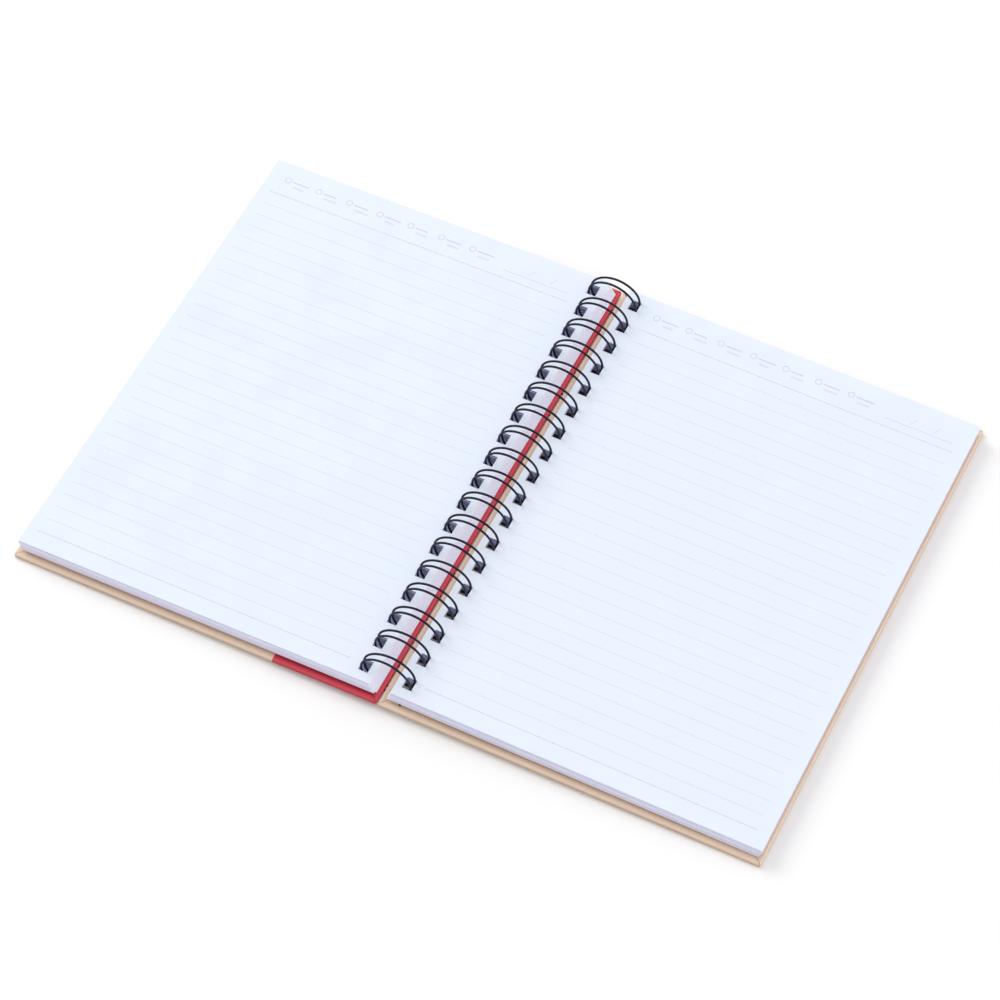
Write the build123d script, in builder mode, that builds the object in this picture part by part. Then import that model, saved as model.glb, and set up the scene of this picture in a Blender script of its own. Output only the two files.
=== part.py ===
"""Twin-loop wire-bound notebook, lying open flat.

The spine runs along Y, the front cover and the turned pages lie on the -X side, the back cover
and the other pages on the +X side. The origin is on the surface it lies on, under the wire's axis.
"""

from build123d import *
import os
from math import asin, atan, atan2, cos, degrees, hypot, radians, sin, sqrt, tan

os.makedirs("parts", exist_ok=True)

# Sheets, mm
page_height = 230.2
sheet_width = 163.0
left_stack = 6.75
right_stack = 5.6

# Punched holes: depth is measured across the spine, length along it. Sheets lie this much
# nearer the spine than a hole centred on the wire would put them.
pitch = 12.7
hole_depth = 4.0
hole_length = 5.6
sheet_margin = 2.9
sheet_lag = 0.5
end_margin = 6.0

# Covers
cover_thickness = 2.4
end_square = 3.0
fore_square = 0.8
spine_gap = 0.9
cover_strip = 3.2
edge_round = 0.45
band_width = 47.5
band_thickness = 0.3

# Wire: each loop is a pair of bars, widest at the base and narrowest at the tip. The ring is an
# oval that reaches further out along the sheets than up from them.
wire_diameter = 1.0
ring_widening = 0.7
base_spacing = 4.1
crown_spacing = 2.75
tip_spacing = 1.7
bend_inner_radius = 0.3

# Clearances
wire_clearance = 0.15
seam_clearance = 0.05
axis_clearance = 0.15
cut_margin = 0.5

# Heights above a cover's outer face, and the ring that clears them
wire_radius = wire_diameter / 2
bend_radius = wire_radius + bend_inner_radius
seam_space = wire_diameter + 2 * seam_clearance
stack_height = max(left_stack, seam_space + right_stack)
outer_depth = cover_thickness + stack_height + axis_clearance
inner_depth = outer_depth - cover_thickness
strip_reach = spine_gap / 2 + cover_strip
ring_radius = wire_radius + wire_clearance + hypot(outer_depth, strip_reach)
axis_height = ring_radius + wire_radius

# The oval's four arcs meet at 45 degrees: two side arcs, and one each for the crown and the base
ring_out = ring_radius + ring_widening
side_offset = ring_widening / (2 - sqrt(2))
side_radius = ring_out - side_offset
crown_radius = side_radius + side_offset * sqrt(2)

# Reaches from the ring's axis out to each edge
sheet_reach = sheet_width - sheet_margin - hole_depth / 2
fore_reach = ring_radius - sheet_lag + sheet_reach
cover_reach = fore_reach + fore_square
cover_width = cover_reach - spine_gap / 2
cover_height = page_height + 2 * end_square
hole_reach = sqrt((ring_out + wire_radius + wire_clearance) ** 2 - inner_depth**2)
seam_reach = side_offset + sqrt(side_radius**2 - inner_depth**2)
loop_count = int((page_height - 2 * end_margin) // pitch) + 1

# Slopes: each cover rests on its fore-edge, and the right-hand sheets rest on the wire's seam
rest_reach = cover_reach - edge_round
rest_depth = outer_depth - edge_round
cover_slope = asin((axis_height - edge_round) / hypot(rest_reach, rest_depth)) - atan2(rest_depth, rest_reach)
seam_slope = atan(seam_space / (fore_reach - seam_reach))
right_depth = inner_depth * cos(seam_slope) - fore_reach * sin(seam_slope)
right_slope = cover_slope + seam_slope


def half_frame(side, slope):
    """Section plane through the ring's axis: x runs outward along the sheets, y up from them."""
    outward = (side * cos(slope), 0, -sin(slope))
    return Plane(origin=(0, 0, axis_height), x_dir=outward, z_dir=(0, -side, 0))


def hole_place(height):
    """Distance outward to the middle of the hole in a sheet at this height from the ring's axis."""
    return sqrt(ring_radius**2 - height**2) - sheet_lag


def sheared_section(spine_shift, fore_shift, bottom, top):
    """Face between two heights whose ends both follow the holes, as threaded sheets do."""
    heights = (bottom, (bottom + top) / 2, top)
    with BuildLine() as outline:
        spine_end = ThreePointArc(*[(hole_place(h) + spine_shift, h) for h in heights])
        fore_end = ThreePointArc(*[(hole_place(h) + fore_shift, h) for h in heights])
        Line(spine_end @ 0, fore_end @ 0)
        Line(spine_end @ 1, fore_end @ 1)
    make_face(outline.edges())


def sheet_section(bottom, top):
    """Section of a block of sheets."""
    sheared_section(-hole_depth / 2 - sheet_margin, sheet_reach, bottom, top)


def channel_section(bottom, top):
    """Section of the channel that a block's punched holes make, run out past both faces."""
    sheared_section(-hole_depth / 2, hole_depth / 2, bottom - cut_margin, top + cut_margin)


def board_section(near, far, skin):
    """Section of a cover between two reaches, less a skin on both faces, or plus one if negative."""
    with Locations(((near + far) / 2, -(outer_depth + inner_depth) / 2)):
        Rectangle(far - near, cover_thickness - 2 * skin)


front_frame = half_frame(-1, cover_slope)
back_frame = half_frame(1, cover_slope)
right_frame = half_frame(1, right_slope)
loop_places = [pitch * (loop - (loop_count - 1) / 2) for loop in range(loop_count)]
front_loops = [front_frame.offset(place) for place in loop_places]
back_loops = [back_frame.offset(place) for place in loop_places]
right_loops = [right_frame.offset(place) for place in loop_places]

# Block of turned pages, lying on the front cover
with BuildPart() as left_pages:
    with BuildSketch(front_frame):
        sheet_section(-inner_depth, -inner_depth + left_stack)
    extrude(amount=page_height / 2, both=True)
    with BuildSketch(*front_loops):
        channel_section(-inner_depth, -inner_depth + left_stack)
    extrude(amount=hole_length / 2, both=True, mode=Mode.SUBTRACT)

# Block of pages still to come, held off the back cover by the wire's seam
with BuildPart() as right_pages:
    with BuildSketch(right_frame):
        sheet_section(-right_depth, -right_depth + right_stack)
    extrude(amount=page_height / 2, both=True)
    with BuildSketch(*right_loops):
        channel_section(-right_depth, -right_depth + right_stack)
    extrude(amount=hole_length / 2, both=True, mode=Mode.SUBTRACT)

# Board wrapped in kraft paper, right-hand side. Its holes are straight, and long enough across
# the spine to clear the wire as it slants through the board.
with BuildPart() as back_cover:
    with BuildSketch(back_frame):
        board_section(spine_gap / 2, cover_reach, 0)
    extrude(amount=cover_height / 2, both=True)
    fillet(back_cover.edges(), radius=edge_round)
    with BuildSketch(*back_loops):
        board_section(strip_reach, hole_reach, -cut_margin)
    extrude(amount=hole_length / 2, both=True, mode=Mode.SUBTRACT)

# The other cover before its band is let in
with BuildPart() as front_blank:
    with BuildSketch(front_frame):
        board_section(spine_gap / 2, cover_reach, 0)
    extrude(amount=cover_height / 2, both=True)
    fillet(front_blank.edges(), radius=edge_round)

# Book-cloth band wrapped round the front board's spine edge, flush with the kraft paper
band_reach = spine_gap / 2 + band_width
with BuildPart() as spine_band:
    add(front_blank.part)
    with BuildSketch(front_frame):
        board_section(0, band_reach, -cut_margin)
    extrude(amount=cover_height / 2 + cut_margin, both=True, mode=Mode.INTERSECT)
    with BuildSketch(front_frame):
        board_section(spine_gap / 2 + band_thickness, band_reach + cut_margin, band_thickness)
    extrude(amount=cover_height / 2 - band_thickness, both=True, mode=Mode.SUBTRACT)
    with BuildSketch(*front_loops):
        board_section(strip_reach, hole_reach, -cut_margin)
    extrude(amount=hole_length / 2, both=True, mode=Mode.SUBTRACT)

# Board wrapped in kraft paper, left-hand side, thinned where the band goes round it
with BuildPart() as front_cover:
    add(front_blank.part)
    add(spine_band.part, mode=Mode.SUBTRACT)
    with BuildSketch(*front_loops):
        board_section(strip_reach, hole_reach, -cut_margin)
    extrude(amount=hole_length / 2, both=True, mode=Mode.SUBTRACT)

# One bar of a loop, as a path from the seam to the middle of its tip. Angles turn about the
# ring's axis from the outward direction; spread is the bar's distance from the loop's middle.
seam_height = inner_depth - seam_clearance - wire_radius
base_angle = atan2(bend_radius, side_radius) - asin(seam_height / hypot(side_radius, bend_radius))
quarter = radians(45)
tip_turn = 3 * quarter


def oval(turn):
    """Distances in from the oval's widest point and away from its long axis, at a turn round it."""
    if turn <= quarter:
        return side_radius * (1 - cos(turn)), side_radius * sin(turn)
    if turn <= 3 * quarter:
        return ring_out - crown_radius * cos(turn), crown_radius * sin(turn) - side_offset
    return 2 * ring_out - side_radius * (1 + cos(turn)), side_radius * sin(turn)


narrowing = (base_spacing - crown_spacing) / (4 * ring_out)
closing = (crown_spacing - tip_spacing) / (2 * oval(tip_turn)[0])


def crown_bar(turn):
    """Point on the bar from the seam and over the pages, which narrows evenly once past its foot."""
    inward, rise = oval(turn)
    slant = narrowing if turn > 0 else 0
    return Vector(ring_out - inward * sqrt(1 - slant**2), rise, base_spacing / 2 - inward * slant)


def tip_bar(turn):
    """Point on the bar's last stretch, under the covers to the tip."""
    outward, drop = oval(turn)
    start = crown_bar(4 * quarter)
    spread = crown_spacing / 2 - outward * closing
    return Vector(start.X + outward * sqrt(1 - closing**2), -drop, spread)


def arc_points(bar, start, end):
    """First, middle and last point of one of the bar's arcs."""
    return [tuple(bar(turn)) for turn in (start, (start + end) / 2, end)]


seam_drop = Vector(sin(base_angle), -cos(base_angle), 0) * bend_radius
seam_side = Vector(0, 0, bend_radius)
bend_start = crown_bar(base_angle)
bend_middle = bend_start + seam_side + (seam_drop - seam_side) * sin(radians(45))
bend_end = bend_start + seam_side + seam_drop
seam_end = Vector(bend_end.X, bend_end.Y, pitch / 2)

# The tip is a round turn, tangent to both bars
tip_start = tip_bar(tip_turn)
tip_slant = asin(closing * sin(tip_turn))
tip_half_turn = radians(90) - tip_slant
tip_radius = tip_start.Z / cos(tip_slant)
tip_height = tip_start.Z * tan(tip_half_turn / 2)
tip_forward = Vector(sin(tip_turn) * sqrt(1 - closing**2), -cos(tip_turn), 0).normalized()
tip_side = Vector(0, 0, 1)
tip_end = tip_start - tip_side * tip_start.Z + tip_forward * tip_height
tip_centre = tip_end - tip_forward * tip_radius
tip_middle_arm = tip_forward * cos(tip_half_turn / 2) + tip_side * sin(tip_half_turn / 2)
tip_middle = tip_centre + tip_middle_arm * tip_radius

with BuildLine(back_frame) as bar_path:
    Line(tuple(seam_end), tuple(bend_end))
    ThreePointArc(tuple(bend_end), tuple(bend_middle), tuple(bend_start))
    ThreePointArc(*arc_points(crown_bar, base_angle, 0))
    ThreePointArc(*arc_points(crown_bar, 0, quarter))
    ThreePointArc(*arc_points(crown_bar, quarter, 3 * quarter))
    ThreePointArc(*arc_points(crown_bar, 3 * quarter, 4 * quarter))
    ThreePointArc(*arc_points(tip_bar, 0, quarter))
    ThreePointArc(*arc_points(tip_bar, quarter, tip_turn))
    ThreePointArc(tuple(tip_start), tuple(tip_middle), tuple(tip_end))

# Two mirrored bars make a loop, and the loops follow one another along the spine
with BuildLine() as loop_path:
    add(bar_path.line)
    mirror(about=Plane.XZ)

with BuildLine() as wire_path:
    with GridLocations(0, pitch, 1, loop_count):
        add(loop_path.line)

# One continuous wire, its ends cut off at the middle of the last seam bars
with BuildPart() as wire_binding:
    with BuildSketch(Plane(origin=wire_path.wire() @ 0, z_dir=wire_path.wire() % 0)):
        Circle(wire_radius)
    sweep(path=wire_path.wire())

front_cover.part.label = "front_cover"
export_step(front_cover.part, "parts/front_cover.step")

spine_band.part.label = "spine_band"
export_step(spine_band.part, "parts/spine_band.step")

back_cover.part.label = "back_cover"
export_step(back_cover.part, "parts/back_cover.step")

left_pages.part.label = "left_pages"
export_step(left_pages.part, "parts/left_pages.step")

right_pages.part.label = "right_pages"
export_step(right_pages.part, "parts/right_pages.step")

wire_binding.part.label = "wire_binding"
export_step(wire_binding.part, "parts/wire_binding.step")

print(f"ring radius {ring_radius:.3f}, axis height {axis_height:.3f}, loops {loop_count}")
print(f"cover slope {degrees(cover_slope):.3f}, right-hand sheets' slope {degrees(right_slope):.3f}")
print(f"page faces meet at {180 + degrees(cover_slope + right_slope):.2f} degrees")
print(f"cover {cover_width:.2f} x {cover_height:.2f}, hole {strip_reach:.2f} to {hole_reach:.2f}")
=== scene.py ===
import random
from math import asin, atan, atan2, cos, hypot, pi, radians, sin, sqrt, tan

import bmesh
import bpy
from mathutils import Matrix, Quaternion, Vector


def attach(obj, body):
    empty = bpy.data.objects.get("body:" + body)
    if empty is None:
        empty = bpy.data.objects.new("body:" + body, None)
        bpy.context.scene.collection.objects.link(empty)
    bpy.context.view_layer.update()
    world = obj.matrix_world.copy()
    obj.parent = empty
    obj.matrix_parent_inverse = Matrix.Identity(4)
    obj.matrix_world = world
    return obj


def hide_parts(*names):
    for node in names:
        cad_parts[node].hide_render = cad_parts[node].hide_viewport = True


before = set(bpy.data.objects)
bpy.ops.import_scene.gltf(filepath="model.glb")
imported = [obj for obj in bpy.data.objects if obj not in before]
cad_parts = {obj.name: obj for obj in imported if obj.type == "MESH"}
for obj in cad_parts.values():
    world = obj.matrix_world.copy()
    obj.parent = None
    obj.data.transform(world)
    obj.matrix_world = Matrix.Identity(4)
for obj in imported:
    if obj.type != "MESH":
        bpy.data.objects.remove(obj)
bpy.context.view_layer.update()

# A twin-loop wire-bound notebook lying open. The spine runs along Y. Most shapes are made in the
# measures of one half: reach is outward from the ring's axis, along is a place on the spine, and
# height is above that axis, square to the half's own slope. Side is -1 on the left and 1 on the
# right. Everything is in metres.

# Sizes, the same as the construction's
PAGE_HEIGHT = 0.2302
SHEET_WIDTH = 0.163
LEFT_STACK = 0.00675
RIGHT_STACK = 0.0056
PITCH = 0.0127
LOOPS = 18
HOLE_DEPTH = 0.004
HOLE_LENGTH = 0.0056
SHEET_MARGIN = 0.0029
SHEET_LAG = 0.0005
COVER_THICKNESS = 0.0024
END_SQUARE = 0.003
FORE_SQUARE = 0.0008
SPINE_GAP = 0.0009
STRIP_REACH = 0.00365
BAND_REACH = 0.04795
EDGE_ROUND = 0.00045
RING_WIDENING = 0.0007
WIRE_RADIUS = 0.0005
BASE_SPACING = 0.0041
CROWN_SPACING = 0.00275
TIP_SPACING = 0.0017
BEND_RADIUS = WIRE_RADIUS + 0.0003
WIRE_CLEARANCE = 0.00015
SEAM_CLEARANCE = 0.00005
AXIS_CLEARANCE = 0.00015

# Heights, reaches and slopes that follow from them
SEAM_SPACE = 2 * WIRE_RADIUS + 2 * SEAM_CLEARANCE
OUTER_DEPTH = COVER_THICKNESS + max(LEFT_STACK, SEAM_SPACE + RIGHT_STACK) + AXIS_CLEARANCE
INNER_DEPTH = OUTER_DEPTH - COVER_THICKNESS
RING = WIRE_RADIUS + WIRE_CLEARANCE + hypot(OUTER_DEPTH, STRIP_REACH)
AXIS_HEIGHT = RING + WIRE_RADIUS
RING_OUT = RING + RING_WIDENING
SIDE_OFFSET = RING_WIDENING / (2 - sqrt(2))
SIDE_RADIUS = RING_OUT - SIDE_OFFSET
CROWN_RADIUS = SIDE_RADIUS + SIDE_OFFSET * sqrt(2)
SHEET_REACH = SHEET_WIDTH - SHEET_MARGIN - HOLE_DEPTH / 2
FORE_REACH = RING - SHEET_LAG + SHEET_REACH
HOLE_REACH = sqrt((RING_OUT + WIRE_RADIUS + WIRE_CLEARANCE) ** 2 - INNER_DEPTH**2)
SEAM_REACH = SIDE_OFFSET + sqrt(SIDE_RADIUS**2 - INNER_DEPTH**2)
COVER_REACH = FORE_REACH + FORE_SQUARE
REST_REACH = COVER_REACH - EDGE_ROUND
REST_DEPTH = OUTER_DEPTH - EDGE_ROUND
REST_ANGLE = asin((AXIS_HEIGHT - EDGE_ROUND) / hypot(REST_REACH, REST_DEPTH))
COVER_SLOPE = REST_ANGLE - atan2(REST_DEPTH, REST_REACH)
SEAM_SLOPE = atan(SEAM_SPACE / (FORE_REACH - SEAM_REACH))
RIGHT_DEPTH = INNER_DEPTH * cos(SEAM_SLOPE) - FORE_REACH * sin(SEAM_SLOPE)
RIGHT_SLOPE = COVER_SLOPE + SEAM_SLOPE
LEFT_TOP = -INNER_DEPTH + LEFT_STACK
RIGHT_TOP = -RIGHT_DEPTH + RIGHT_STACK
HALF_COVER = PAGE_HEIGHT / 2 + END_SQUARE
SPINE_EDGE = SPINE_GAP / 2

# Sheets: they lie in small groups that shifted together, and each is a little out of line.
# HOLE_OUTER is from a hole's middle to its outer edge, which clears the wire. FORE_SPARE is how
# far past the construction's fore edge a sheet may reach.
SHEET_PITCH = 0.000105
SHEET_THICKNESS = 0.000092
HOLE_OUTER = 0.00235
FORE_SPARE = 0.0002
GROUP_SIZES = (4, 11)
GROUP_SLIDE = 0.00010
GROUP_SHIFT = 0.00009
SHEET_SCATTER = 0.00003
MOST_SLIDE = 0.00014
TAIL_SCATTER = (-0.00006, 0.00004)
GROUP_TONES = (0.15, 1.0)
TONE_SCATTER = 0.2

# The lowest sheets: how far they are drawn back, and how many are. In a stack with proud sheets
# fewer are, then come the proud ones, then a few that are drawn back again.
LOW_SHEET_RECESS = 0.0012
RECESSED_SHEETS = 7
RECESSED_BELOW_PROUD = 5
PROUD_END = 8
GAP_END = 11

# Covers: RIM is the width of the shaded border. A mitre section is how far in from the corner it
# is, its half width and its depth.
KRAFT_ROUND = 0.00055
CLOTH_ROUND = 0.00112
ROUND_SEGMENTS = 5
FRONT_INSET = 0.0001
BACK_HOLE_EXTRA = 0.0007
RIM = 0.003
SHARP_ANGLE = radians(28)
MITRE_WIDTH = 0.0006
MITRE_TOP = 0.0006
MITRE_SECTIONS = ((-0.0012, MITRE_WIDTH, 0.0024), (0.0014, MITRE_WIDTH / 2, 0.0006),
                  (0.0075, MITRE_WIDTH / 2, 0.0004))
SAME = 1e-7

# Wire: its two cut ends stand out past the last loops. The steps are how many straight parts
# each stretch of a loop has.
CUT_END = 0.0011
LOOP_LEAN = 0.00012
WIRE_SIDES = 14
SEAM_STEPS = 3
BEND_STEPS = 6
BASE_STEPS = 5
CROWN_STEPS = 36
TIP_STEPS = 27

# Printed form: x is from its left end, whose reach on each page is LEFT_PRINT or RIGHT_PRINT,
# and y is along the spine
INK_RISE = 0.00001
PRINT_WIDTH = 0.1454
LEFT_PRINT = 0.1628
RIGHT_PRINT = 0.0168
HEADER_RULE = 0.0973
RULES = 29
RULE_SPACING = 0.00705
TICKS = 24
TICK_START = 0.0001
TICK_SPACING = 0.0063
HALF_TICK = 0.00045
FINE_WIDTH = 0.00017
STRONG_WIDTH = 0.00028
TICK_WIDTH = 0.00016
DATE_X = (0.1125, 0.1440)
DATE_Y = 0.1015
DATE_WIDTH = 0.00024
STROKE_X = (0.1240, 0.1345)
STROKE_LEAN = 0.0021
STROKE_Y = (0.1030, 0.1064)
STROKE_WIDTH = 0.00022
DAY_SPACING = 0.01518
CIRCLE_X = 0.0046
CIRCLE_Y = 0.1062
CIRCLE_RADIUS = 0.00140
CIRCLE_WIDTH = 0.00038
WORD_GAP = 0.0024
WORD_Y = 0.1060
WORD_WIDTH = 0.00062
NOTE_X = 0.0082
NOTE_Y = 0.1034
NOTE_WIDTH = 0.00100
DAY_WORDS = (0.0078, 0.0062, 0.0070, 0.0081, 0.0058, 0.0074, 0.0085)
DAY_NOTES = (0.0052, 0.0060, 0.0066, 0.0048, 0.0055, 0.0060, 0.0056)
RING_SIDES = 20


# ---------------------------------------------------------------- placing and meshes

def half_place(side, slope):
    """Turns a reach, a place along the spine and a height into a point in the scene."""
    outward = Vector((side * cos(slope), 0, -sin(slope)))
    upward = Vector((side * sin(slope), 0, cos(slope)))
    axis = Vector((0, 0, AXIS_HEIGHT))

    def place(reach, along, height):
        return axis + outward * reach + upward * height + Vector((0, along, 0))

    return place


def hole_place(height):
    """Reach of the middle of the hole in a sheet at this height."""
    return sqrt(RING**2 - height**2) - SHEET_LAG


def loop_middle(loop):
    return PITCH * (loop - (LOOPS - 1) / 2)


def link_piece(name, mesh, body):
    piece = bpy.data.objects.new(name, mesh)
    bpy.context.scene.collection.objects.link(piece)
    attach(piece, body)
    return piece


def mesh_piece(name, verts, faces, material, body, smooth=False):
    mesh = bpy.data.meshes.new(name)
    mesh.from_pydata([tuple(v) for v in verts], [], faces)
    mesh.materials.append(material)
    mesh.validate()
    if smooth:
        mesh.polygons.foreach_set("use_smooth", [True] * len(mesh.polygons))
    return link_piece(name, mesh, body)


def store(mesh, title, domain, values):
    """A number on each face or point, which a material reads by name."""
    attribute = mesh.attributes.new(title, "FLOAT", domain)
    attribute.data.foreach_set("value", [float(value) for value in values])


# ---------------------------------------------------------------- materials

def new_material(name):
    material = bpy.data.materials.new(name)
    material.use_nodes = True
    tree = material.node_tree
    return material, tree, tree.nodes["Principled BSDF"]


def node(tree, kind, inputs=None, **settings):
    """A new node. An input is linked if it is given a socket, and set if it is given a value."""
    made = tree.nodes.new(kind)
    for key, value in settings.items():
        setattr(made, key, value)
    for key, value in (inputs or {}).items():
        socket = made.inputs[key]
        if isinstance(value, bpy.types.NodeSocket):
            tree.links.new(value, socket)
        else:
            socket.default_value = value
    return made


def object_coords(tree, scale=(1, 1, 1), rotation=(0, 0, 0)):
    coords = node(tree, "ShaderNodeTexCoord")
    inputs = {"Vector": coords.outputs["Object"], "Scale": scale, "Rotation": rotation}
    return node(tree, "ShaderNodeMapping", inputs).outputs["Vector"]


def noise(tree, vector, scale, detail, roughness=0.5):
    inputs = {"Vector": vector, "Scale": scale, "Detail": detail, "Roughness": roughness}
    return node(tree, "ShaderNodeTexNoise", inputs).outputs["Fac"]


def stored(tree, title):
    return node(tree, "ShaderNodeAttribute", attribute_name=title).outputs["Fac"]


def ramp(tree, value, low, high, low_out=0.0, high_out=1.0):
    inputs = {0: value, 1: low, 2: high, 3: low_out, 4: high_out}
    return node(tree, "ShaderNodeMapRange", inputs).outputs[0]


def mix(tree, factor, first, second):
    inputs = {0: factor, 6: first, 7: second}
    return node(tree, "ShaderNodeMix", inputs, data_type="RGBA").outputs[2]


def bump(tree, height, strength, distance, shader):
    inputs = {"Height": height, "Strength": strength, "Distance": distance}
    made = node(tree, "ShaderNodeBump", inputs)
    tree.links.new(made.outputs["Normal"], shader.inputs["Normal"])


def surface(tree, shader, colour, roughness, specular):
    """Links the colour, and sets or links the roughness."""
    tree.links.new(colour, shader.inputs["Base Color"])
    if isinstance(roughness, bpy.types.NodeSocket):
        tree.links.new(roughness, shader.inputs["Roughness"])
    else:
        shader.inputs["Roughness"].default_value = roughness
    shader.inputs["Specular IOR Level"].default_value = specular


def paper_material():
    """Page faces, the edges of the stack and the walls of the holes.

    sheet_side is 0 on a face, 1 on an edge and 2 in a hole, whose dark colour is painted shade.
    sheet_tone is 0 to 1, and on up to 2 along the spine, where the lighter colour is painted
    light.
    """
    material, tree, shader = new_material("page_paper")
    mottle = noise(tree, object_coords(tree), 60.0, 4.0)
    fibre = noise(tree, object_coords(tree, (1, 2.5, 1)), 1400.0, 3.0)
    streak = noise(tree, object_coords(tree, (0.12, 0.12, 1)), 700.0, 3.0)
    tone, kind = stored(tree, "sheet_tone"), stored(tree, "sheet_side")
    face = mix(tree, ramp(tree, mottle, 0.35, 0.65),
               (0.757, 0.820, 0.940, 1), (0.776, 0.833, 0.948, 1))
    edge = mix(tree, tone, (0.68, 0.63, 0.83, 1), (0.97, 0.92, 1.0, 1))
    edge = mix(tree, ramp(tree, streak, 0.4, 0.7, 0.0, 0.35), edge, (0.62, 0.57, 0.76, 1))
    # Edges along the spine go lighter here, as painted light in the gutter.
    edge = mix(tree, ramp(tree, tone, 1.0, 2.0), edge, (0.98, 0.925, 1.0, 1))
    # Hole walls take dark colours as painted shade.
    wall = mix(tree, tone, (0.10, 0.085, 0.24, 1), (0.46, 0.42, 0.74, 1))
    colour = mix(tree, ramp(tree, kind, 0.0, 1.0), face, edge)
    colour = mix(tree, ramp(tree, kind, 1.0, 2.0), colour, wall)
    surface(tree, shader, colour, 0.72, 0.25)
    bump(tree, fibre, 0.12, 0.00003, shader)
    return material


def ink_material(name, colour):
    material, tree, shader = new_material(name)
    patches = noise(tree, object_coords(tree), 2600.0, 2.0)
    dark = tuple(0.9 * c for c in colour[:3]) + (1,)
    surface(tree, shader, mix(tree, ramp(tree, patches, 0.35, 0.65), dark, colour), 0.7, 0.2)
    return material


def rim_shade(tree, tint, painted_highlight, painted_shade, wall):
    """Painted highlight round the inner edge, painted shade round the outer one and in the holes.
    """
    rim = stored(tree, "rim")
    tint = mix(tree, ramp(tree, rim, 0.1, 0.7, 0.0, 0.7), tint, painted_highlight)
    tint = mix(tree, ramp(tree, rim, 0.05, -0.75, 0.0, 0.6), tint, painted_shade)
    return mix(tree, ramp(tree, stored(tree, "hole_wall"), 0.0, 1.0), tint, wall)


def kraft_material():
    """Brown paper with fibres lying two ways and dark specks."""
    material, tree, shader = new_material("kraft_paper")
    plain = object_coords(tree)
    cloud = noise(tree, plain, 35.0, 4.0)
    light_fibre = noise(tree, object_coords(tree, (1, 7, 4), (0, 0, 0.5)), 420.0, 4.0, 0.6)
    dark_fibre = noise(tree, object_coords(tree, (7, 1, 4), (0, 0, 0.3)), 380.0, 4.0, 0.6)
    specks = noise(tree, plain, 1700.0, 1.0)
    tint = mix(tree, ramp(tree, cloud, 0.3, 0.7), (0.59, 0.405, 0.285, 1), (0.65, 0.455, 0.325, 1))
    tint = mix(tree, ramp(tree, light_fibre, 0.5, 0.75, 0.0, 0.55), tint, (0.74, 0.56, 0.41, 1))
    tint = mix(tree, ramp(tree, dark_fibre, 0.52, 0.75, 0.0, 0.6), tint, (0.46, 0.29, 0.185, 1))
    tint = mix(tree, ramp(tree, specks, 0.66, 0.72, 0.0, 0.6), tint, (0.30, 0.185, 0.115, 1))
    # The light edge colour is painted highlight; the dark edge and hole colours are painted shade.
    tint = rim_shade(tree, tint, painted_highlight=(0.82, 0.66, 0.53, 1), painted_shade=(0.38, 0.285, 0.195, 1),
                     wall=(0.05, 0.035, 0.04, 1))
    surface(tree, shader, tint, 0.78, 0.3)
    bump(tree, light_fibre, 0.25, 0.00005, shader)
    return material


def red_material():
    """Fine-grained red book cloth."""
    material, tree, shader = new_material("red_cover_cloth")
    voronoi = node(tree, "ShaderNodeTexVoronoi", {"Vector": object_coords(tree), "Scale": 1900.0})
    grain = voronoi.outputs["Distance"]
    cloud = noise(tree, object_coords(tree), 90.0, 4.0)
    tint = mix(tree, ramp(tree, cloud, 0.3, 0.7), (0.34, 0.012, 0.026, 1), (0.42, 0.018, 0.036, 1))
    tint = mix(tree, ramp(tree, grain, 0.0, 0.7, 0.0, 0.35), tint, (0.52, 0.03, 0.05, 1))
    # The light edge colour is painted highlight; the dark edge and hole colours are painted shade.
    tint = rim_shade(tree, tint, painted_highlight=(0.70, 0.085, 0.115, 1), painted_shade=(0.17, 0.006, 0.018, 1),
                     wall=(0.03, 0.004, 0.01, 1))
    surface(tree, shader, tint, 0.38, 0.3)
    bump(tree, grain, 0.3, 0.00006, shader)
    return material


def wire_material():
    """Near-black navy coating with a slight orange peel."""
    material, tree, shader = new_material("coated_wire")
    plain = object_coords(tree)
    orange_peel = noise(tree, plain, 1500.0, 2.0)
    cloud = noise(tree, plain, 180.0, 3.0)
    tint = mix(tree, ramp(tree, cloud, 0.35, 0.65),
               (0.006, 0.007, 0.024, 1), (0.011, 0.012, 0.038, 1))
    surface(tree, shader, tint, ramp(tree, cloud, 0.3, 0.7, 0.34, 0.46), 0.22)
    bump(tree, orange_peel, 0.15, 0.00004, shader)
    return material


# ---------------------------------------------------------------- pages

def punched_slab(verts, faces, columns, rows, levels, punched):
    """Closed slab on a grid of reaches and places along the spine, less the punched cells.

    Returns what each face is: 0 flat, 1 outside edge, 2 hole's wall, 3 edge along the spine.
    """
    across, along = len(columns), len(rows)
    base = len(verts)
    kinds = []
    for height in levels:
        verts += [(column, row, height) for column in columns for row in rows]

    def corner(level, column, row):
        return base + (level * across + column) * along + row

    def inside(column, row):
        return 0 <= column < across - 1 and 0 <= row < along - 1

    for column in range(across - 1):
        for row in range(along - 1):
            if punched(column, row):
                continue
            ring = [(column, row), (column + 1, row), (column + 1, row + 1), (column, row + 1)]
            faces.append([corner(1, *c) for c in ring])
            faces.append([corner(0, *c) for c in reversed(ring)])
            kinds += [0, 0]
            beyond = [(column, row - 1), (column + 1, row), (column, row + 1), (column - 1, row)]
            for side, cell in enumerate(beyond):
                if inside(*cell) and not punched(*cell):
                    continue
                a, b = ring[side], ring[(side + 1) % 4]
                faces.append([corner(0, *a), corner(0, *b), corner(1, *b), corner(1, *a)])
                kinds.append(2 if inside(*cell) else 3 if cell[0] < 0 else 1)
    return kinds


def hole_rows(low, high, slide=0.0):
    """Places along the spine of a slab's ends and of every hole's two edges."""
    rows = [low]
    for loop in range(LOOPS):
        middle = loop_middle(loop) + slide
        rows += [middle - HOLE_LENGTH / 2, middle + HOLE_LENGTH / 2]
    return rows + [high]


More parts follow.
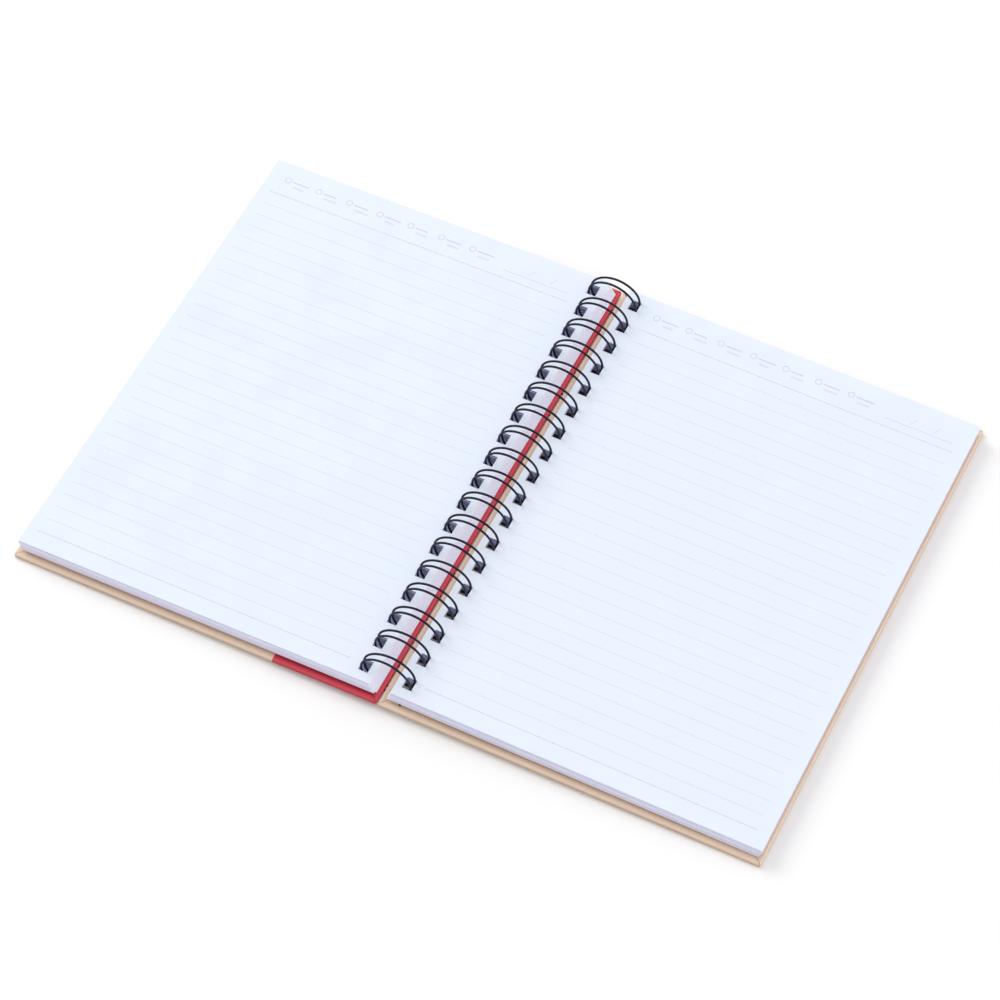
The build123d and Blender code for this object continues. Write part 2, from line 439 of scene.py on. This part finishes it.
def sheet_stack(name, side, slope, bottom, top, body, replaced, material, seed, lag, widen, proud):
    """A block of punched sheets.

    The stack lies nearer the spine by lag, and its fore edge is let out by widen. The lowest
    sheets are drawn back at the tail, and half as far at the fore edge. Where proud is set, the
    next few stand out by it in the same way, and the few above them are drawn back by it at the
    tail alone.
    """
    draw = random.Random(seed)
    place = half_place(side, slope)
    count = round((top - bottom) / SHEET_PITCH)
    step = (top - bottom - SHEET_THICKNESS) / (count - 1)
    recessed = RECESSED_BELOW_PROUD if proud else RECESSED_SHEETS
    verts, faces, tones, kinds = [], [], [], []
    left_in_group = 0

    def at_hole(column, row):
        return column == 1 and row % 2 == 1

    for sheet in range(count):
        low = bottom + sheet * step
        if left_in_group == 0:
            left_in_group = draw.randint(*GROUP_SIZES)
            group_slide = draw.uniform(-GROUP_SLIDE, GROUP_SLIDE)
            group_shift = draw.uniform(-GROUP_SHIFT, GROUP_SHIFT)
            group_tone = draw.uniform(*GROUP_TONES)
        left_in_group -= 1
        reach = hole_place(low + SHEET_THICKNESS / 2) - lag + group_shift
        reach += draw.gauss(0, SHEET_SCATTER)
        slide = group_slide + draw.gauss(0, SHEET_SCATTER)
        slide = max(-MOST_SLIDE, min(MOST_SLIDE, slide))
        tail = draw.uniform(*TAIL_SCATTER)
        fore = 0.0
        stands_out = proud > 0 and recessed <= sheet < PROUD_END
        if sheet < recessed:
            tail += LOW_SHEET_RECESS
            fore = -LOW_SHEET_RECESS / 2
        elif stands_out:
            tail, fore = -proud, proud / 2
        elif proud and sheet < GAP_END:
            tail += proud
        last = sheet == count - 1
        if last:
            reach, slide = hole_place(low) - lag, 0.0
        hole_edge = reach - HOLE_DEPTH / 2
        fore_edge = min(reach + SHEET_REACH + widen, FORE_REACH + FORE_SPARE) + fore
        columns = [hole_edge - SHEET_MARGIN, hole_edge, reach + HOLE_OUTER, fore_edge]
        rows = hole_rows(-PAGE_HEIGHT / 2 + slide + tail, PAGE_HEIGHT / 2 + slide, slide)
        levels = (low, low + SHEET_THICKNESS)
        made = punched_slab(verts, faces, columns, rows, levels, at_hole)
        if stands_out or last:
            tone = 1.0
        else:
            tone = group_tone + draw.uniform(-TONE_SCATTER, TONE_SCATTER)
            tone = max(0.0, min(1.0, tone))
        kinds += [1 if kind == 3 else kind for kind in made]
        # Edges along the spine get tones of 1.6 to 2, painted light that makes them lighter.
        tones += [1.6 + 0.4 * tone if kind == 3 else tone for kind in made]
    if side < 0:
        faces = [face[::-1] for face in faces]
    piece = mesh_piece(name, [place(*v) for v in verts], faces, material, body)
    store(piece.data, "sheet_tone", "FACE", tones)
    store(piece.data, "sheet_side", "FACE", kinds)
    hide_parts(replaced)


# ---------------------------------------------------------------- wire

def oval(turn):
    """How far a half turn of the ring has come inward from its widest point, and its rise."""
    if turn <= pi / 4:
        return SIDE_RADIUS * (1 - cos(turn)), SIDE_RADIUS * sin(turn)
    if turn <= 3 * (pi / 4):
        return RING_OUT - CROWN_RADIUS * cos(turn), CROWN_RADIUS * sin(turn) - SIDE_OFFSET
    return 2 * RING_OUT - SIDE_RADIUS * (1 + cos(turn)), SIDE_RADIUS * sin(turn)


def loop_points():
    """Middle line of one loop, from one seam bar's middle to the next, in the cover's section.

    A bar leaves the seam round a bend, goes up the side and over the crown, and down to the tip,
    where it meets the loop's other bar.
    """
    seam_height = INNER_DEPTH - SEAM_CLEARANCE - WIRE_RADIUS
    seam_angle = asin(seam_height / hypot(SIDE_RADIUS, BEND_RADIUS))
    base_angle = atan2(BEND_RADIUS, SIDE_RADIUS) - seam_angle
    tip_turn = 3 * (pi / 4)
    narrowing = (BASE_SPACING - CROWN_SPACING) / (4 * RING_OUT)
    closing = (CROWN_SPACING - TIP_SPACING) / (2 * oval(tip_turn)[0])
    points = []

    def arc(function, start, end, steps, first=False):
        for step in range(0 if first else 1, steps + 1):
            points.append(function(start + (end - start) * step / steps))

    def crown_bar(turn):
        inward, rise = oval(turn)
        slant = narrowing if turn > 0 else 0
        reach = RING_OUT - inward * sqrt(1 - slant**2)
        return Vector((reach, rise, BASE_SPACING / 2 - inward * slant))

    def tip_bar(turn):
        outward, drop = oval(turn)
        reach = crown_bar(pi).x + outward * sqrt(1 - closing**2)
        return Vector((reach, -drop, CROWN_SPACING / 2 - outward * closing))

    drop = Vector((sin(base_angle), -cos(base_angle), 0)) * BEND_RADIUS
    sideways = Vector((0, 0, BEND_RADIUS))
    bend_start = crown_bar(base_angle)

    def bend(turn):
        return bend_start + sideways + drop * cos(turn) - sideways * sin(turn)

    seam = bend(0)
    for step in range(SEAM_STEPS):
        along = PITCH / 2 + (seam.z - PITCH / 2) * step / SEAM_STEPS
        points.append(Vector((seam.x, seam.y, along)))
    arc(bend, 0, pi / 2, BEND_STEPS, first=True)
    arc(crown_bar, base_angle, 0, BASE_STEPS)
    arc(crown_bar, 0, pi, CROWN_STEPS)
    arc(tip_bar, 0, tip_turn, TIP_STEPS)

    start = tip_bar(tip_turn)
    slant = asin(closing * sin(tip_turn))
    half_turn = pi / 2 - slant
    radius = start.z / cos(slant)
    forward = Vector((sin(tip_turn) * sqrt(1 - closing**2), -cos(tip_turn), 0)).normalized()
    centre = start - Vector((0, 0, start.z)) + forward * (start.z * tan(half_turn / 2) - radius)

    def tip(turn):
        return centre + forward * radius * cos(turn) + Vector((0, 0, radius * sin(turn)))

    arc(tip, half_turn, 0, BEND_STEPS)
    return points + [Vector((p.x, p.y, -p.z)) for p in reversed(points[:-1])]


def wire_path():
    """Middle line of the whole binding, its loops leaning a little either way."""
    place = half_place(1, COVER_SLOPE)
    draw = random.Random(41)
    shape = loop_points()
    path = []
    for loop in range(LOOPS):
        lean = draw.uniform(-LOOP_LEAN, LOOP_LEAN)
        for point in shape if loop == 0 else shape[1:]:
            along = loop_middle(loop) - point.z + lean * max(0.0, point.y / RING)
            path.append(place(point.x, along, point.y))
    cut_end = Vector((0, CUT_END, 0))
    return [path[0] - cut_end] + path + [path[-1] + cut_end]


def wire_piece(material):
    """The whole binding as one round wire."""
    path = wire_path()
    verts, faces = [], []
    across = Vector((1, 0, 0))
    for index, point in enumerate(path):
        before, after = path[max(index - 1, 0)], path[min(index + 1, len(path) - 1)]
        along = (after - before).normalized()
        across = (across - along * across.dot(along)).normalized()
        other = along.cross(across)
        for side in range(WIRE_SIDES):
            turn = 2 * pi * side / WIRE_SIDES
            verts.append(point + (across * cos(turn) + other * sin(turn)) * WIRE_RADIUS)
    for ring in range(len(path) - 1):
        for side in range(WIRE_SIDES):
            a, b = ring * WIRE_SIDES + side, ring * WIRE_SIDES + (side + 1) % WIRE_SIDES
            faces.append([a, b, b + WIRE_SIDES, a + WIRE_SIDES])
    faces.append(list(range(WIRE_SIDES))[::-1])
    faces.append([len(verts) - WIRE_SIDES + side for side in range(WIRE_SIDES)])
    piece = mesh_piece("wire_loops", verts, faces, material, "back_half", True)
    for cut_face in (-1, -2):
        piece.data.polygons[cut_face].use_smooth = False
    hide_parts("wire_binding")


# ---------------------------------------------------------------- covers

def board_mesh(name, near, far, rounded, radius, half_length, outer, hole_extra):
    """A board with its wrapped edges rounded, in a half's own measures.

    It is punched if it reaches across the wire, its holes longer towards the head by hole_extra.
    """
    punched = near < STRIP_REACH < far
    columns = [near] + ([STRIP_REACH, HOLE_REACH] if punched else [])
    columns += ([far - RIM] if "far" in rounded else []) + [far]
    rows = hole_rows(-half_length, half_length)
    rows[2:-1:2] = [row + hole_extra for row in rows[2:-1:2]]
    rows = rows[:1] + [rows[0] + RIM] + rows[1:-1] + [rows[-1] - RIM] + rows[-1:]
    verts, faces = [], []

    def at_hole(column, row):
        return punched and column == 1 and row % 2 == 0 and 0 < row < len(rows) - 2

    punched_slab(verts, faces, columns, rows, (-outer, -INNER_DEPTH), at_hole)
    mesh = bpy.data.meshes.new(name)
    mesh.from_pydata(verts, [], faces)

    def on_wrapped_edge(vert):
        return (abs(abs(vert.co.y) - half_length) < SAME
                or ("near" in rounded and abs(vert.co.x - near) < SAME)
                or ("far" in rounded and abs(vert.co.x - far) < SAME))

    def butts(edge):
        return any(all(abs(v.co.x - reach) < SAME for v in edge.verts)
                   for end, reach in (("near", near), ("far", far)) if end not in rounded)

    form = bmesh.new()
    form.from_mesh(mesh)
    outline = [edge for edge in form.edges
               if all(on_wrapped_edge(v) for v in edge.verts)
               and edge.calc_face_angle(0) > 1 and not butts(edge)]
    bmesh.ops.bevel(form, geom=outline, offset=radius, offset_type="OFFSET",
                    segments=ROUND_SEGMENTS, profile=0.5, affect="EDGES")
    form.to_mesh(mesh)
    form.free()
    return mesh


def store_board_shade(mesh, near, far, rounded, half_length, outer):
    """Marks where the covering takes painted highlight and painted shade.

    rim is 1 where the board's edge meets its inside face, -1 where it meets the outside one, and
    0 away from the edge. hole_wall is 1 in a hole.
    """
    rims = []
    for vert in mesh.vertices:
        inset = half_length - abs(vert.co.y)
        if "far" in rounded:
            inset = min(inset, far - vert.co.x)
        if "near" in rounded:
            inset = min(inset, (vert.co.x - near) * RIM / (STRIP_REACH - near))
        level = (vert.co.z + outer) / (outer - INNER_DEPTH)
        rims.append(max(0.0, 1 - inset / RIM) * (2 * level - 1))
    spare = 1e-5
    walls = [abs(face.normal.z) < 0.5
             and STRIP_REACH - spare < face.center.x < HOLE_REACH + spare
             and abs(face.center.y) < half_length - RIM for face in mesh.polygons]
    store(mesh, "rim", "POINT", rims)
    store(mesh, "hole_wall", "FACE", walls)


def board_piece(name, side, near, far, rounded, radius, material, body, replaced,
                inset=0.0, hole_extra=0.0):
    """A wrapped board between two reaches, with mitred corners at its rounded ends.

    It is thinner outside and shorter at each end by inset.
    """
    half_length, outer = HALF_COVER - inset, OUTER_DEPTH - inset
    mesh = board_mesh(name, near, far, rounded, radius, half_length, outer, hole_extra)
    for end, reach in (("near", near), ("far", far)):
        if end in rounded:
            for along in (-half_length, half_length):
                mesh = cut_mitre(mesh, reach, along)
    store_board_shade(mesh, near, far, rounded, half_length, outer)
    place = half_place(side, COVER_SLOPE)
    for vert in mesh.vertices:
        vert.co = place(*vert.co)
    if side < 0:
        mesh.flip_normals()
    mesh.materials.clear()
    mesh.materials.append(material)
    mesh.polygons.foreach_set("use_smooth", [True] * len(mesh.polygons))
    mesh.set_sharp_from_angle(angle=SHARP_ANGLE)
    piece = link_piece(name, mesh, body)
    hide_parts(replaced)


def mitre_cutter(reach, along):
    """A narrow wedge from outside the corner inward, in sections of its own width and depth."""
    inward = Vector((1 if reach < BAND_REACH else -1, -1 if along > 0 else 1, 0)).normalized()
    across = Vector((-inward.y, inward.x, 0))
    corner = Vector((reach, along, -INNER_DEPTH))
    top = Vector((0, 0, MITRE_TOP))
    verts = []
    for run, half_width, depth in MITRE_SECTIONS:
        middle = corner + inward * run
        verts += [middle - across * half_width + top, middle + across * half_width + top,
                  middle - Vector((0, 0, depth))]
    faces = [(0, 1, 2), (8, 7, 6)]
    for level in (0, 3):
        for i in range(3):
            j = (i + 1) % 3
            faces.append((level + i, level + i + 3, level + j + 3, level + j))
    mesh = bpy.data.meshes.new("mitre_cutter")
    mesh.from_pydata(verts, [], faces)
    form = bmesh.new()
    form.from_mesh(mesh)
    bmesh.ops.recalc_face_normals(form, faces=form.faces)
    form.to_mesh(mesh)
    form.free()
    return bpy.data.objects.new("mitre_cutter", mesh)


def cut_mitre(mesh, reach, along):
    """The fold line where the turned-in covering meets at a corner, cut as a narrow groove."""
    cutter = mitre_cutter(reach, along)
    board = bpy.data.objects.new("mitre_board", mesh)
    for thing in (cutter, board):
        bpy.context.scene.collection.objects.link(thing)
    cut = board.modifiers.new("mitre", "BOOLEAN")
    cut.operation = "DIFFERENCE"
    cut.solver = "EXACT"
    cut.object = cutter
    evaluated = board.evaluated_get(bpy.context.evaluated_depsgraph_get())
    result = bpy.data.meshes.new_from_object(evaluated)
    bpy.data.objects.remove(cutter)
    bpy.data.objects.remove(board)
    return result


# ---------------------------------------------------------------- print on the open pages

def add_bar(verts, faces, start, end, width):
    """A straight mark as a closed thin strip, in the page's own measures."""
    a, b = Vector(start), Vector(end)
    along = (b - a).normalized()
    across = Vector((-along.y, along.x)) * width / 2
    base = len(verts)
    for level in (-INK_RISE, INK_RISE):
        corners = (a - across, b - across, b + across, a + across)
        verts += [(corner.x, corner.y, level) for corner in corners]
    strip = ((3, 2, 1, 0), (4, 5, 6, 7), (0, 1, 5, 4), (1, 2, 6, 5), (2, 3, 7, 6), (3, 0, 4, 7))
    faces += [[base + i for i in face] for face in strip]


def add_ring(verts, faces, centre, radius, width):
    """A small tick circle as a closed thin ring."""
    base = len(verts)
    for level in (-INK_RISE, INK_RISE):
        for reach in (radius - width / 2, radius + width / 2):
            for side in range(RING_SIDES):
                turn = 2 * pi * side / RING_SIDES
                verts.append((centre[0] + reach * cos(turn), centre[1] + reach * sin(turn), level))
    low_in, low_out, high_in, high_out = (base + RING_SIDES * level for level in range(4))
    for side in range(RING_SIDES):
        after = (side + 1) % RING_SIDES
        faces += [
            [high_in + side, high_out + side, high_out + after, high_in + after],
            [low_in + after, low_out + after, low_out + side, low_in + side],
            [low_out + side, low_out + after, high_out + after, high_out + side],
            [low_in + after, low_in + side, high_in + side, high_in + after],
        ]


def ruled_lines(verts, faces):
    for rule in range(1, RULES):
        y = HEADER_RULE - rule * RULE_SPACING
        add_bar(verts, faces, (0, y), (PRINT_WIDTH, y), FINE_WIDTH)


def strong_lines(verts, faces):
    """Rules with ticks at the head and foot, and the line for a date with its two strokes."""
    for y in (HEADER_RULE, HEADER_RULE - RULES * RULE_SPACING):
        add_bar(verts, faces, (0, y), (PRINT_WIDTH, y), STRONG_WIDTH)
        for tick in range(TICKS):
            x = TICK_START + tick * TICK_SPACING
            add_bar(verts, faces, (x, y - HALF_TICK), (x, y + HALF_TICK), TICK_WIDTH)
    add_bar(verts, faces, (DATE_X[0], DATE_Y), (DATE_X[1], DATE_Y), DATE_WIDTH)
    for x in STROKE_X:
        start, end = (x, STROKE_Y[0]), (x + STROKE_LEAN, STROKE_Y[1])
        add_bar(verts, faces, start, end, STROKE_WIDTH)


def day_marks(verts, faces):
    """Seven tick circles, each with a plain bar where a form has a word."""
    for day, length in enumerate(DAY_WORDS):
        x = CIRCLE_X + day * DAY_SPACING
        add_ring(verts, faces, (x, CIRCLE_Y), CIRCLE_RADIUS, CIRCLE_WIDTH)
        word = x + WORD_GAP
        add_bar(verts, faces, (word, WORD_Y), (word + length, WORD_Y), WORD_WIDTH)


def day_notes(verts, faces):
    """A fainter, thicker bar below each of the seven."""
    for day, length in enumerate(DAY_NOTES):
        x = NOTE_X + day * DAY_SPACING
        add_bar(verts, faces, (x, NOTE_Y), (x + length, NOTE_Y), NOTE_WIDTH)


def page_print(name, side, slope, height, body, material, draw_marks):
    """Marks as ink just above the open page; both pages carry the same form."""
    place = half_place(side, slope)
    start = LEFT_PRINT if side < 0 else RIGHT_PRINT
    verts, faces = [], []
    draw_marks(verts, faces)
    placed = [place(start + side * x, y, height + level) for x, y, level in verts]
    mesh_piece(name, placed, faces, material, body)


# ---------------------------------------------------------------- the notebook

def pages(paper):
    sheet_stack("left_sheets", -1, COVER_SLOPE, -INNER_DEPTH, LEFT_TOP, "front_half",
                "left_pages", paper, seed=7, lag=0.00045, widen=0.0, proud=0.0)
    sheet_stack("right_sheets", 1, RIGHT_SLOPE, -RIGHT_DEPTH, RIGHT_TOP, "right_page_block",
                "right_pages", paper, seed=19, lag=0.0004, widen=0.0004, proud=0.00045)


def covers(kraft, red):
    """Both covers. The red band is the whole spine end of the front one.

    The kraft front board butts against the band, and is a hair thinner outside and shorter at
    each end. The back board's holes are longer towards the head, where the gap below the pages
    would otherwise show kraft through theirs.
    """
    board_piece("back_board", 1, SPINE_EDGE, COVER_REACH, ("near", "far"), KRAFT_ROUND, kraft,
                "back_half", "back_cover", hole_extra=BACK_HOLE_EXTRA)
    board_piece("front_board", -1, BAND_REACH, COVER_REACH, ("far",), KRAFT_ROUND, kraft,
                "front_half", "front_cover", inset=FRONT_INSET)
    board_piece("red_band", -1, SPINE_EDGE, BAND_REACH, ("near",), CLOTH_ROUND, red,
                "front_half", "spine_band")


def printed_form():
    strong = ink_material("strong_ink", (0.59, 0.64, 0.75, 1))
    rule = ink_material("rule_ink", (0.61, 0.66, 0.785, 1))
    soft = ink_material("soft_ink", (0.705, 0.76, 0.885, 1))
    for title, ink, marks in (("rules", rule, ruled_lines), ("heads", strong, strong_lines),
                              ("days", rule, day_marks), ("notes", soft, day_notes)):
        page_print("left_" + title, -1, COVER_SLOPE, LEFT_TOP, "front_half", ink, marks)
        page_print("right_" + title, 1, RIGHT_SLOPE, RIGHT_TOP, "right_page_block", ink, marks)


# ---------------------------------------------------------------- studio

def floor():
    """A pale surface a hair below the notebook."""
    bpy.ops.mesh.primitive_plane_add(size=6.0, location=(0, 0, -0.00003))
    plane = bpy.context.object
    plane.name = "studio_floor"
    material, _, shader = new_material("pale_floor")
    shader.inputs["Base Color"].default_value = (0.93, 0.93, 0.93, 1)
    shader.inputs["Roughness"].default_value = 0.9
    shader.inputs["Specular IOR Level"].default_value = 0.1
    plane.data.materials.append(material)


def lights():
    """An even white surround, a large key from the left and a low fill into the gutter."""
    world = bpy.data.worlds.new("soft_studio")
    world.use_nodes = True
    background = world.node_tree.nodes["Background"]
    background.inputs["Color"].default_value = (1.0, 1.0, 1.0, 1)
    background.inputs["Strength"].default_value = 0.755
    bpy.context.scene.world = world
    for name, location, size, power, shadows in (
        ("key", (-2.4, 0.7, 2.2), 1.9, 49.0, True),
        ("fill", (2.35, -0.1, 0.60), 1.2, 21.0, False),
    ):
        data = bpy.data.lights.new(name, "AREA")
        data.size = size
        data.energy = power
        data.use_shadow = shadows
        lamp = bpy.data.objects.new(name, data)
        bpy.context.scene.collection.objects.link(lamp)
        lamp.location = location
        lamp.rotation_mode = "QUATERNION"
        lamp.rotation_quaternion = (-Vector(location)).to_track_quat("-Z", "Y")
    bpy.context.scene.view_settings.view_transform = "Standard"


def camera():
    """The photograph's viewpoint, by azimuth, elevation, distance and a slight roll."""
    azimuth, elevation, roll = radians(25.834), radians(54.492), radians(0.18)
    distance = 1.5942
    aim = Vector((-0.0006, -0.00322, 0.0))
    data = bpy.data.cameras.new("camera")
    data.sensor_width = 36.0
    data.lens = 136.65
    data.clip_start = 0.05
    data.clip_end = 20.0
    shooter = bpy.data.objects.new("camera", data)
    bpy.context.scene.collection.objects.link(shooter)
    level = cos(elevation)
    back = Vector((sin(azimuth) * level, -cos(azimuth) * level, sin(elevation)))
    shooter.location = aim + back * distance
    shooter.rotation_mode = "QUATERNION"
    turn = (-back).to_track_quat("-Z", "Y")
    shooter.rotation_quaternion = turn @ Quaternion((0, 0, 1), roll)
    bpy.context.scene.camera = shooter


pages(paper_material())
wire_piece(wire_material())
covers(kraft_material(), red_material())
printed_form()
floor()
lights()
camera()
